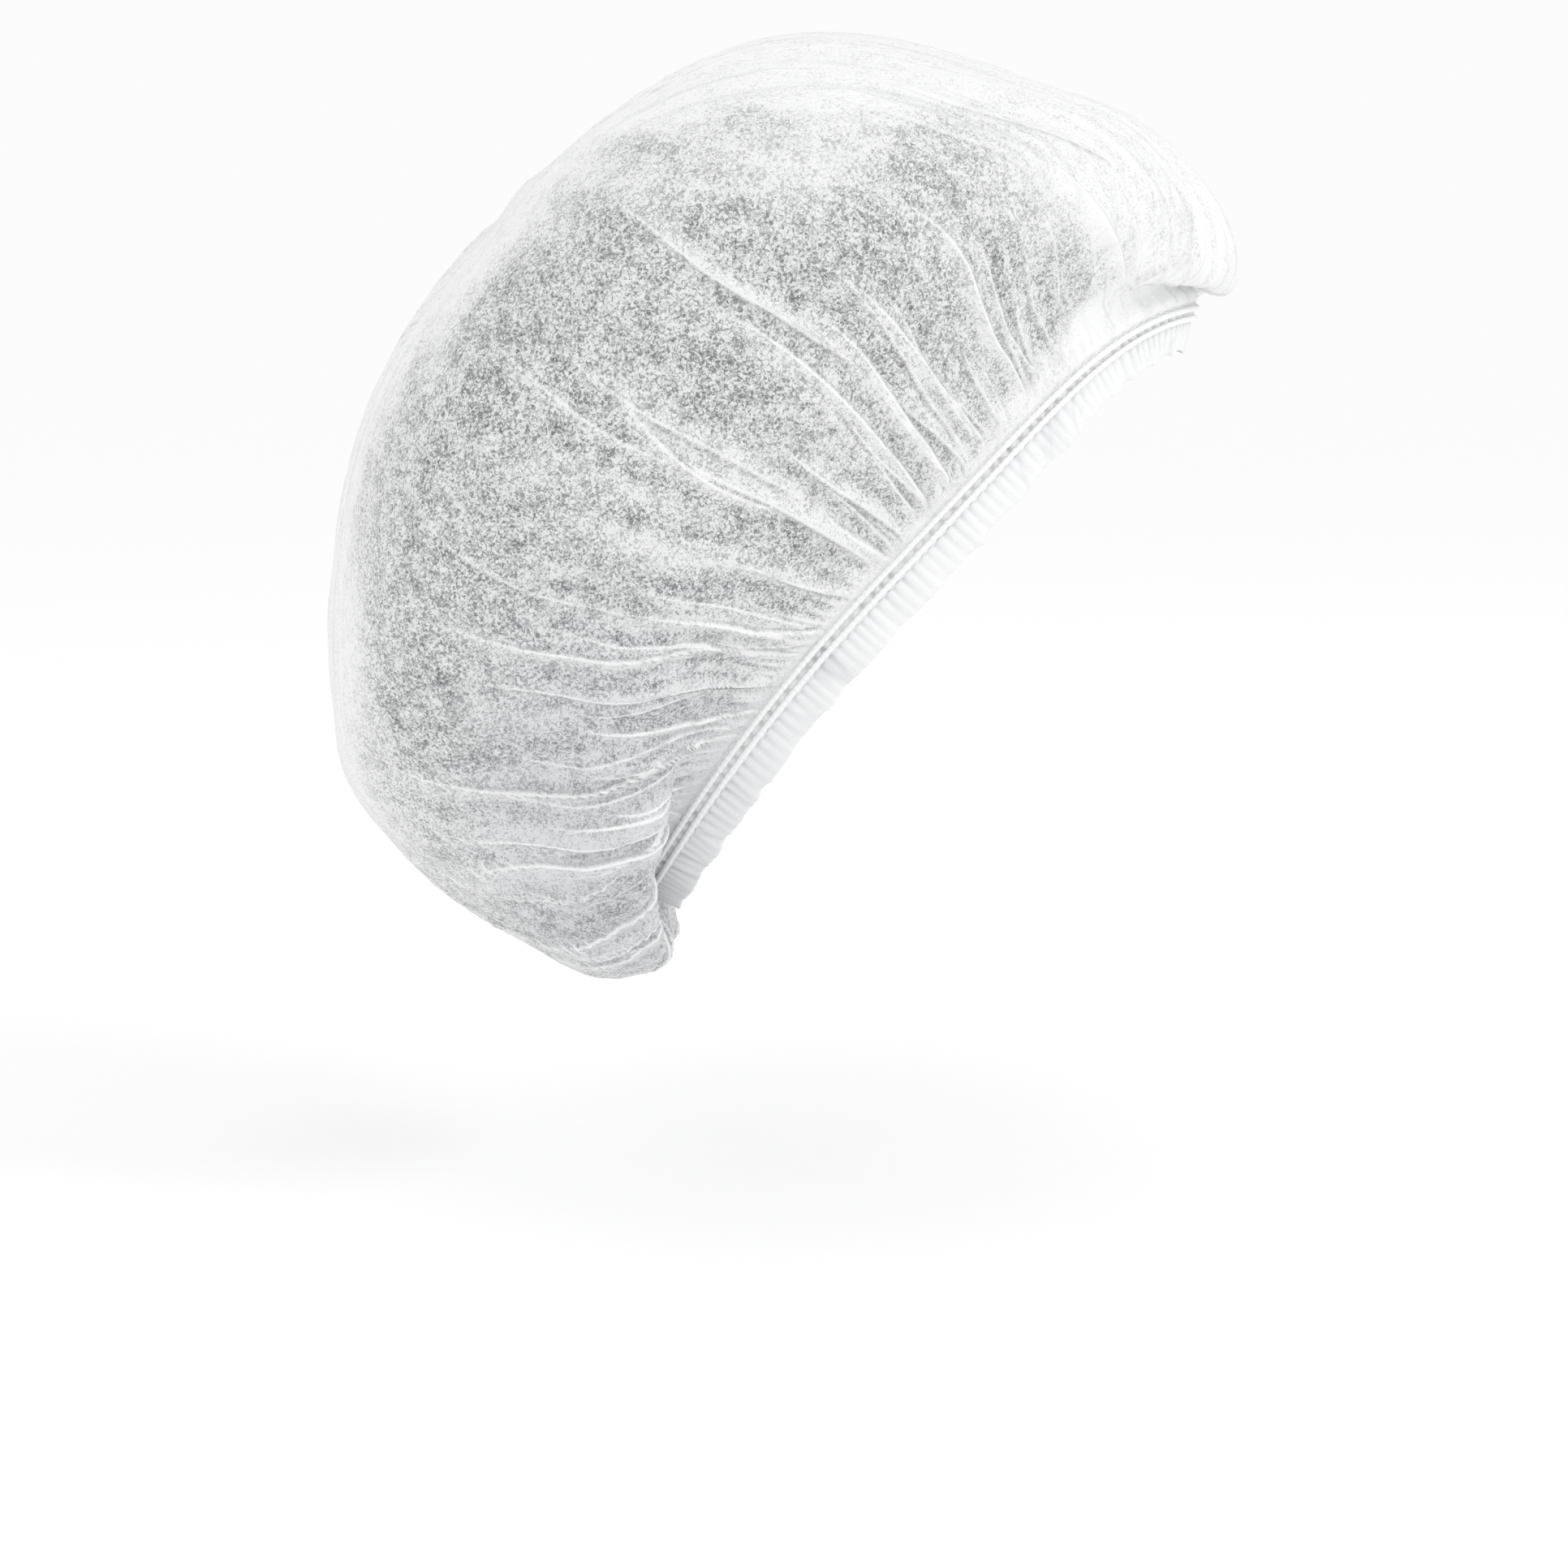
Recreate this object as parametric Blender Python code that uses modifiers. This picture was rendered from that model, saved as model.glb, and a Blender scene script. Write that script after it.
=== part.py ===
"""Disposable bouffant cap, in the shape it has on a head.

Metres, +Z up, the front of the head at -Y. The origin is the centre of the elastic loop, where the head goes in.
Every piece is modelled with the loop lying flat, and one empty tilts them all to the pose on a head.
"""

import math
from collections import namedtuple

import bmesh
import bpy
from mathutils import Vector

# The elastic loop, which the head stretches. Its plane falls from the forehead to the nape.
RIM_TILT = math.radians(46.6)
LOOP_LENGTH = 0.255
LOOP_WIDTH = 0.150
LOOP_SIDE_RISE = 0.017

# How far the puffed crown stands beyond the loop, and how high it stands over the loop's plane.
CROWN_DEPTH = 0.179
PUFF_FRONT = 0.0308
PUFF_BACK = 0.042
PUFF_SIDE = 0.049

# Cloth walls, and the gap between pieces that touch.
CLOTH = 0.001
GAP = 0.0003

# The hem: a casing that carries two elastic strands, and a ruffle below it.
CASING_WIDTH = 0.0062
RUFFLE_WIDTH = 0.0097
RUFFLE_HEIGHT = 0.0007
ELASTIC_DIAMETER = 0.0014
ELASTIC_SPACING = 0.0033

# The lean of the hem from upright, inwards at its lower edge, at the forehead and at the nape.
LEAN_FRONT = math.radians(60)
LEAN_BACK = math.radians(19)

# The crown's lowest strip lies in line with the hem before the cloth turns away.
RIM_LIP = 0.002

# Gathers: pleats round the rim, how tall they stand where they are fullest, and the share of it that is left where
# the cloth hangs over the hem at the forehead and the nape.
PLEATS = 56
PLEAT_HEIGHT = 0.0032
OVERHANG_SHARE = 0.4
RUFFLE_PLEATS = 84
ELASTIC_POINTS = 72

# How fast the loop's height and each ring's height run from the side to the front and to the back.
RIM_FRONT_SWEEP = 6.0
RIM_BACK_SWEEP = 2.1
DOME_SWEEP = 2.0

# How square the rings are seen along the crown's axis: 1 is an ellipse, less is fuller at the quarters.
RIM_ROUNDNESS = 1.0
DOME_ROUNDNESS = 0.86

# Rings from the rim out to the widest girth. Out is a share of the puff beyond the loop, up a share of the crown's
# depth, and at the side a share of what of that depth is left over the loop's rise.
Flare = namedtuple("Flare", "front_out front_up side_out side_up back_out back_up pleat")
FLARE_ROWS = (
    Flare(0.14, 0.050, 0.06, 0.050, 0.05, 0.045, 0.80),
    Flare(0.22, 0.066, 0.16, 0.086, 0.13, 0.055, 1.00),
    Flare(0.31, 0.022, 0.28, 0.130, 0.16, 0.000, 1.00),
    Flare(0.38, -0.017, 0.41, 0.180, 0.15, -0.070, 0.95),
    Flare(0.54, -0.014, 0.53, 0.230, 0.24, -0.117, 0.90),
    Flare(0.74, 0.022, 0.65, 0.285, 0.49, -0.095, 0.82),
    Flare(0.91, 0.084, 0.76, 0.340, 0.67, -0.050, 0.72),
    Flare(1.00, 0.180, 0.86, 0.410, 0.78, 0.040, 0.60),
    Flare(0.94, 0.307, 0.95, 0.490, 0.92, 0.168, 0.48),
)

# Rings from the widest girth to the top. In is a share of the whole reach, up as above.
Dome = namedtuple("Dome", "front_in front_up side_in side_up back_in back_up pleat")
DOME_ROWS = (
    Dome(0.930, 0.441, 1.00, 0.574, 1.000, 0.346, 0.36),
    Dome(0.855, 0.587, 0.99, 0.667, 0.973, 0.514, 0.26),
    Dome(0.760, 0.726, 0.935, 0.772, 0.873, 0.637, 0.17),
    Dome(0.620, 0.860, 0.81, 0.870, 0.720, 0.771, 0.10),
    Dome(0.440, 0.940, 0.605, 0.944, 0.520, 0.900, 0.04),
    Dome(0.240, 0.983, 0.347, 0.988, 0.295, 0.968, 0.00),
)

# How far up the crown each pleat keeps its height, as a share of the pleat column above. The list repeats round the rim.
PLEAT_REACH = (1.0, 0.45, 0.75, 0.35, 1.25, 0.5, 0.65, 0.9, 0.3, 1.1, 0.55, 0.4, 0.85)

# Broad folds that run from the hem into the crown: where on the loop, from the front, counted towards the wearer's
# right, as a share of its whole length, how tall and how wide as shares of the pleats, and how far they run as a
# share of the rings.
Fold = namedtuple("Fold", "place height width run")
FOLDS = (
    Fold(0.045, 0.9, 2.2, 0.45),
    Fold(0.115, 1.3, 2.6, 0.60),
    Fold(0.190, 1.0, 2.4, 0.75),
    Fold(0.262, 0.9, 2.0, 0.62),
    Fold(0.330, 0.8, 1.9, 0.66),
    Fold(0.402, 1.3, 2.4, 0.70),
    Fold(0.470, 1.6, 2.6, 0.58),
    Fold(0.540, 1.2, 2.4, 0.55),
    Fold(0.622, 1.1, 2.2, 0.68),
    Fold(0.705, 0.9, 2.2, 0.72),
    Fold(0.780, 1.0, 2.0, 0.60),
    Fold(0.855, 1.2, 2.6, 0.70),
    Fold(0.935, 1.0, 2.4, 0.50),
)


def clear_scene():
    for old in list(bpy.data.objects):
        bpy.data.objects.remove(old, do_unlink=True)


def loop_angles(count):
    """Angles round the loop, from the front over the wearer's right, that space count points evenly along it."""
    fine = 720
    lengths = [0.0]
    half_long, half_wide = LOOP_LENGTH / 2, LOOP_WIDTH / 2
    for step in range(fine):
        middle = math.tau * (step + 0.5) / fine
        speed = math.hypot(half_long * math.sin(middle), half_wide * math.cos(middle))
        lengths.append(lengths[-1] + speed)
    angles = []
    step = 0
    for index in range(count):
        wanted = lengths[-1] * index / count
        while lengths[step + 1] < wanted:
            step += 1
        part = (wanted - lengths[step]) / (lengths[step + 1] - lengths[step])
        angles.append(math.tau * (step + part) / fine)
    return angles


def swept(angle, front, side, back, front_sweep, back_sweep):
    """A value that is side at the sides and runs to front and back round a ring."""
    along = math.cos(angle)
    end, sweep = (front, front_sweep) if along > 0 else (back, back_sweep)
    return side + (end - side) * abs(along) ** sweep


def ring_point(angle, front, back, side, height, roundness=RIM_ROUNDNESS):
    """A point of a flat-lying ring. Front, back and side are its reaches from the origin, and +X the wearer's left."""
    along = math.copysign(abs(math.cos(angle)) ** roundness, math.cos(angle))
    across = math.copysign(abs(math.sin(angle)) ** roundness, math.sin(angle))
    reach = front if along > 0 else back
    return Vector((-side * across, -reach * along, height))


def rim_height(angle):
    return swept(angle, 0.0, LOOP_SIDE_RISE, 0.0, RIM_FRONT_SWEEP, RIM_BACK_SWEEP)


def outward(angle):
    """The level direction away from the loop's centre, square to the loop."""
    half_long, half_wide = LOOP_LENGTH / 2, LOOP_WIDTH / 2
    return Vector((-math.sin(angle) / half_wide, -math.cos(angle) / half_long, 0)).normalized()


def hem_frame(angle):
    """The loop's point at this angle, the direction up the hem's width and the one out of its face."""
    lean = swept(angle, LEAN_FRONT, 0.0, LEAN_BACK, DOME_SWEEP, DOME_SWEEP)
    out = outward(angle)
    up_the_hem = out * math.sin(lean) + Vector((0, 0, math.cos(lean)))
    face = out * math.cos(lean) - Vector((0, 0, math.sin(lean)))
    centre = ring_point(angle, LOOP_LENGTH / 2, LOOP_LENGTH / 2, LOOP_WIDTH / 2, rim_height(angle))
    return centre, up_the_hem, face


def hem_point(angle, up, out=0.0):
    centre, up_the_hem, face = hem_frame(angle)
    return centre + up_the_hem * up + face * out


def flare_point(angle, row, sweep_share):
    front = LOOP_LENGTH / 2 + PUFF_FRONT * row.front_out
    back = LOOP_LENGTH / 2 + PUFF_BACK * row.back_out
    side = LOOP_WIDTH / 2 + PUFF_SIDE * row.side_out
    side_up = LOOP_SIDE_RISE + (CROWN_DEPTH - LOOP_SIDE_RISE) * row.side_up
    front_sweep = RIM_FRONT_SWEEP + (DOME_SWEEP - RIM_FRONT_SWEEP) * sweep_share
    back_sweep = RIM_BACK_SWEEP + (DOME_SWEEP - RIM_BACK_SWEEP) * sweep_share
    height = swept(
        angle, CROWN_DEPTH * row.front_up, side_up, CROWN_DEPTH * row.back_up, front_sweep, back_sweep
    )
    roundness = RIM_ROUNDNESS + (DOME_ROUNDNESS - RIM_ROUNDNESS) * sweep_share
    return ring_point(angle, front, back, side, height, roundness)


def dome_point(angle, row):
    front = (LOOP_LENGTH / 2 + PUFF_FRONT) * row.front_in
    back = (LOOP_LENGTH / 2 + PUFF_BACK) * row.back_in
    side = (LOOP_WIDTH / 2 + PUFF_SIDE) * row.side_in
    side_up = LOOP_SIDE_RISE + (CROWN_DEPTH - LOOP_SIDE_RISE) * row.side_up
    height = swept(
        angle, CROWN_DEPTH * row.front_up, side_up, CROWN_DEPTH * row.back_up, DOME_SWEEP, DOME_SWEEP
    )
    return ring_point(angle, front, back, side, height, DOME_ROUNDNESS)


def fold_height(place, run):
    """How far the broad folds lift the cloth at this share of the loop and share of the way to the top."""
    lift = 0.0
    for fold in FOLDS:
        away = abs((place - fold.place + 0.5) % 1.0 - 0.5) * PLEATS / fold.width
        if away < 1.0 and run < fold.run:
            crest = (1.0 - away) ** 2 * (1.0 + 2.0 * away)
            lift += fold.height * crest * math.sin(math.pi * run / fold.run) ** 0.7
    return lift * PLEAT_HEIGHT


def pleat_height(index, pleat):
    """Odd points are crests and even points are the valleys between them."""
    if index % 2 == 0:
        return 0.0
    reach = PLEAT_REACH[(index // 2) % len(PLEAT_REACH)]
    return PLEAT_HEIGHT * pleat * min(1.0, pleat ** (1.0 / reach))


def crown_rings():
    """The cloth's outer face, a ring of points for each row, from the rim to just short of the top."""
    angles = loop_angles(2 * PLEATS)
    rim = CASING_WIDTH / 2 + GAP
    rings = [[hem_point(angle, rim + lip, CLOTH / 2) for angle in angles] for lip in (0.0, RIM_LIP)]
    rows = [(flare_point, row) for row in FLARE_ROWS] + [(dome_point, row) for row in DOME_ROWS]
    for number, (make, row) in enumerate(rows, start=1):
        run = number / len(rows)
        if make is flare_point:
            ring = [make(angle, row, number / len(FLARE_ROWS)) for angle in angles]
            shares = [swept(angle, OVERHANG_SHARE, 1.0, OVERHANG_SHARE, DOME_SWEEP, DOME_SWEEP) for angle in angles]
        else:
            ring = [make(angle, row) for angle in angles]
            shares = [1.0] * len(angles)
        rings.append(lifted(ring, rings[-1], row.pleat, run, shares))
    return rings


def lifted(ring, below, pleat, run, shares):
    """The ring with its pleats and folds lifted square to the cloth, each by its share."""
    count = len(ring)
    raised = []
    for index, point in enumerate(ring):
        round_the_ring = ring[(index + 1) % count] - ring[index - 1]
        up_the_cloth = point - below[index]
        normal = up_the_cloth.cross(round_the_ring).normalized()
        lift = pleat_height(index, pleat) + fold_height(index / count, run)
        raised.append(point + normal * lift * shares[index])
    return raised


def make_material(name, colour, roughness):
    material = bpy.data.materials.new(name)
    material.use_nodes = True
    shader = material.node_tree.nodes["Principled BSDF"]
    shader.inputs["Base Color"].default_value = (*colour, 1)
    shader.inputs["Roughness"].default_value = roughness
    shader.inputs["Metallic"].default_value = 0.0
    return material


def add_object(name, data, material, tilt, collection):
    data.materials.append(material)
    piece = bpy.data.objects.new(name, data)
    collection.objects.link(piece)
    piece.parent = tilt
    return piece


def mesh_from(name, fill):
    """A mesh that fill builds in a bmesh, with its faces turned outwards."""
    bm = bmesh.new()
    fill(bm)
    mesh = bpy.data.meshes.new(name)
    bm.to_mesh(mesh)
    bm.free()
    return mesh


def bridge(bm, lower, upper):
    """Quads between two rings of vertices, facing out when the rings run over the wearer's right."""
    count = len(lower)
    for index in range(count):
        after = (index + 1) % count
        bm.faces.new((lower[index], upper[index], upper[after], lower[after]))


def make_crown(material, tilt, collection):
    """One sheet, gathered at the rim and puffed out over it, as an open surface that Solidify thickens inwards."""

    def fill(bm):
        rings = [[bm.verts.new(point) for point in ring] for ring in crown_rings()]
        for lower, upper in zip(rings, rings[1:]):
            bridge(bm, lower, upper)
        middle = sum((vert.co for vert in rings[-1]), Vector()) / len(rings[-1])
        top = bm.verts.new((middle.x, middle.y, CROWN_DEPTH))
        for index, vert in enumerate(rings[-1]):
            bm.faces.new((vert, top, rings[-1][(index + 1) % len(rings[-1])]))

    mesh = mesh_from("crown", fill)
    mesh.shade_smooth()
    crown = add_object("crown", mesh, material, tilt, collection)
    shell = crown.modifiers.new("cloth", "SOLIDIFY")
    shell.thickness = CLOTH
    shell.offset = -1
    shell.use_quality_normals = True
    return crown


def strip_ring(bm, angle_rings):
    """A closed band: each item of angle_rings is a ring of points, and the last ring joins the first."""
    rings = [[bm.verts.new(point) for point in ring] for ring in angle_rings]
    for lower, upper in zip(rings, rings[1:] + rings[:1]):
        bridge(bm, lower, upper)


def make_casing(material, tilt, collection):
    """The flat stitched strip of the hem that carries the elastic."""
    angles = loop_angles(2 * PLEATS)
    half, face = CASING_WIDTH / 2, CLOTH / 2
    corners = ((-half, face), (half, face), (half, -face), (-half, -face))

    def fill(bm):
        strip_ring(bm, [[hem_point(angle, up, out) for angle in angles] for up, out in corners])

    return add_object("hem_casing", mesh_from("hem_casing", fill), material, tilt, collection)


def make_ruffle(material, tilt, collection):
    """The frill below the casing: flat where it leaves the casing and crimped at its free edge."""
    angles = loop_angles(2 * RUFFLE_PLEATS)
    top = -(CASING_WIDTH / 2 + GAP)
    bottom = top - RUFFLE_WIDTH
    face = CLOTH / 2

    def edge(up, out, crimp):
        points = []
        for index, angle in enumerate(angles):
            wave = RUFFLE_HEIGHT * crimp * (1 if index % 2 else -1)
            points.append(hem_point(angle, up, out + wave))
        return points

    def fill(bm):
        strip_ring(bm, [edge(bottom, face, 1.0), edge(top, face, 0.0), edge(top, -face, 0.0), edge(bottom, -face, 1.0)])

    return add_object("hem_ruffle", mesh_from("hem_ruffle", fill), material, tilt, collection)


def make_elastic(name, up, material, tilt, collection):
    """A round elastic strand that runs all the way round on the casing's outer face."""
    curve = bpy.data.curves.new(name, "CURVE")
    curve.dimensions = "3D"
    curve.bevel_depth = ELASTIC_DIAMETER / 2
    curve.bevel_resolution = 1
    curve.use_fill_caps = True
    spline = curve.splines.new("POLY")
    spline.points.add(ELASTIC_POINTS - 1)
    spline.use_cyclic_u = True
    seat = CLOTH / 2 + GAP + ELASTIC_DIAMETER / 2
    for point, angle in zip(spline.points, loop_angles(ELASTIC_POINTS)):
        point.co = (*hem_point(angle, up, seat), 1)
    return add_object(name, curve, material, tilt, collection)


def main():
    clear_scene()
    collection = bpy.data.collections.new("bouffant_cap")
    bpy.context.scene.collection.children.link(collection)
    tilt = bpy.data.objects.new("rim_tilt", None)
    tilt.rotation_euler = (-RIM_TILT, 0, 0)
    collection.objects.link(tilt)

    cloth = make_material("spunbond_cloth", (0.80, 0.81, 0.82), 0.9)
    hem_cloth = make_material("hem_cloth", (0.90, 0.91, 0.92), 0.85)
    elastic = make_material("elastic", (0.93, 0.93, 0.94), 0.6)

    make_crown(cloth, tilt, collection)
    make_casing(hem_cloth, tilt, collection)
    make_ruffle(hem_cloth, tilt, collection)
    make_elastic("elastic_upper", ELASTIC_SPACING / 2, elastic, tilt, collection)
    make_elastic("elastic_lower", -ELASTIC_SPACING / 2, elastic, tilt, collection)
    bpy.context.view_layer.update()


main()
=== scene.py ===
"""Looks of a disposable bouffant cap: thin white cloth, gathered on an elastic hem with a ruffled edge.

The shapes are made with the elastic loop lying flat, in metres, with the front of the head at -Y and the
crown above, and are then tilted to the pose on a head. Each piece stands for the solid that lies there.
"""

import math
from collections import namedtuple

import bpy
import numpy as np
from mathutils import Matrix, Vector, noise


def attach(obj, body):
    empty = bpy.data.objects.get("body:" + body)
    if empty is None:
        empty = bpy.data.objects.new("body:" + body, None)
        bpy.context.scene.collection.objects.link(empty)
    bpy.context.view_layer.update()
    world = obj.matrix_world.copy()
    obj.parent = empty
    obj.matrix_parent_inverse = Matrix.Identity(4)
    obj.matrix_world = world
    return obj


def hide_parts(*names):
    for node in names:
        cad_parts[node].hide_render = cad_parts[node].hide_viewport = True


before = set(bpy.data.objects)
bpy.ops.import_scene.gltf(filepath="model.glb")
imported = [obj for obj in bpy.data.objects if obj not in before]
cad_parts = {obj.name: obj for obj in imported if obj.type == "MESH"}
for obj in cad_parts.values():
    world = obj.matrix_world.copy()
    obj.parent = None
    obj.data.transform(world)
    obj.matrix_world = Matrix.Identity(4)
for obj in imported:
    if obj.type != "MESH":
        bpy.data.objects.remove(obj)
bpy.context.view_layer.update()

# The elastic loop as the head stretches it, and its tilt from the forehead down to the nape.
RIM_TILT = math.radians(46.6)
LOOP_LENGTH = 0.255
LOOP_WIDTH = 0.150
LOOP_SIDE_RISE = 0.017

# How far the puffed crown stands beyond the loop, and how high over the loop's plane.
CROWN_DEPTH = 0.179
PUFF_FRONT = 0.0308
PUFF_BACK = 0.042
PUFF_SIDE = 0.049

# How fast a ring's height runs from the side to the front and the back, and how square its plan is.
RIM_FRONT_SWEEP = 6.0
RIM_BACK_SWEEP = 2.1
DOME_SWEEP = 2.0
RIM_ROUNDNESS = 1.0
DOME_ROUNDNESS = 0.86

# The hem: a casing with two elastic strands, and a doubled ruffle below. It leans in at forehead and
# nape. The crown and the ruffle are tucked this far behind the casing's edges.
CASING_WIDTH = 0.0062
CASING_FACE = 0.0005
RIM_TUCK = 0.0002
RIM_FACE = CASING_FACE * 0.6
RIM_LIP = 0.002
ELASTIC_SPACING = 0.0033
ELASTIC_RADIUS = 0.00095
RUFFLE_WIDTH = 0.0100
RUFFLE_PLY_GAP = 0.0011
RUFFLE_TUCK = 0.0001
STITCH_PITCH = 0.0043
RUFFLE_RIB_PITCH = 0.0036
RUFFLE_WAVE_PITCH = RUFFLE_RIB_PITCH * 6.3
LEAN_FRONT = math.radians(60)
LEAN_BACK = math.radians(19)

# The casing's cloth puffs out, is pinched along the strands and dimpled between them, all in metres. Its
# shades are those of the strip between the strands and of the dimples there.
CASING_PUFF = 0.00038
CASING_PINCH = 0.00015
CASING_DIMPLE = 0.0006
PINCH_HALF = 0.0006
DIMPLE_HALF = 0.00085
CASING_SHADE = 0.10
DIMPLE_SHADE = 0.45

# The ruffle's ribs and broad waves: how far they swing out of its face in metres, how much less the ribs
# do at its edge, and how much both widen it, as shares of its width. It is darker between ribs and at the
# casing.
RIB_SWING = 0.00030
RIB_SWING_LOSS = 0.00012
WAVE_SWING = 0.0009
RIB_WIDENING = 0.012
WAVE_WIDENING = 0.06
RIB_SHADE = 0.36
SEAM_SHADE = 0.16
SEAM_SHADE_REACH = 0.10

# How high the strands' middles lie over the casing and how tall their beads are, as shares of their
# radius.
STRAND_SEAT = 0.7
BEAD_HEIGHT = 0.14

# The hem's uneven ripples: how fast their drift and their size change round the loop, and by how much.
RIPPLE_DRIFT_PACE = 9
RIPPLE_SIZE_PACE = 17
RIPPLE_DRIFT = 3.2
RIPPLE_SIZE = 0.72
RIPPLE_SIZE_CHANGE = 0.5
STITCH_SEED = 2.5
RIB_SEED = 6.5
WAVE_SEED = 9.1

# How white the hem's doubled cloth shows at least.
HEM_WHITENESS = 0.6

# Mesh density: columns round the loop, the crown's row spacing at the rim and at the top, and the hem's
# rows.
CROWN_COLUMNS = 1080
HEM_COLUMNS = 1500
ROW_STEP_RIM = 0.0016
ROW_STEP_TOP = 0.0048
ROW_STEP_GROWTH = 0.035
CASING_ROWS = 19
OUTER_PLY_ROWS = 17
INNER_PLY_ROWS = 10
STRAND_SIDES = 8

# Rings from the rim out to the widest girth. Out is a share of the puff beyond the loop. Up is a share of
# the crown's depth, and at the side a share of what of that depth is left over the loop's rise.
Flare = namedtuple("Flare", "front_out front_up side_out side_up back_out back_up")
FLARE_ROWS = (
    Flare(0.14, 0.050, 0.06, 0.050, 0.05, 0.045),
    Flare(0.22, 0.066, 0.16, 0.086, 0.13, 0.055),
    Flare(0.31, 0.022, 0.28, 0.130, 0.16, 0.000),
    Flare(0.38, -0.017, 0.41, 0.180, 0.15, -0.070),
    Flare(0.54, -0.014, 0.53, 0.230, 0.24, -0.117),
    Flare(0.74, 0.022, 0.65, 0.285, 0.49, -0.095),
    Flare(0.91, 0.084, 0.76, 0.340, 0.67, -0.050),
    Flare(1.00, 0.180, 0.86, 0.410, 0.78, 0.040),
    Flare(0.94, 0.307, 0.95, 0.490, 0.92, 0.168),
)

# Rings from the widest girth to the top. In is a share of the whole reach, up as above.
Dome = namedtuple("Dome", "front_in front_up side_in side_up back_in back_up")
DOME_ROWS = (
    Dome(0.930, 0.441, 1.00, 0.574, 1.000, 0.346),
    Dome(0.855, 0.587, 0.99, 0.667, 0.973, 0.514),
    Dome(0.760, 0.726, 0.935, 0.772, 0.873, 0.637),
    Dome(0.620, 0.860, 0.81, 0.870, 0.720, 0.771),
    Dome(0.440, 0.940, 0.605, 0.944, 0.520, 0.900),
    Dome(0.240, 0.983, 0.347, 0.988, 0.295, 0.968),
)

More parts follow.
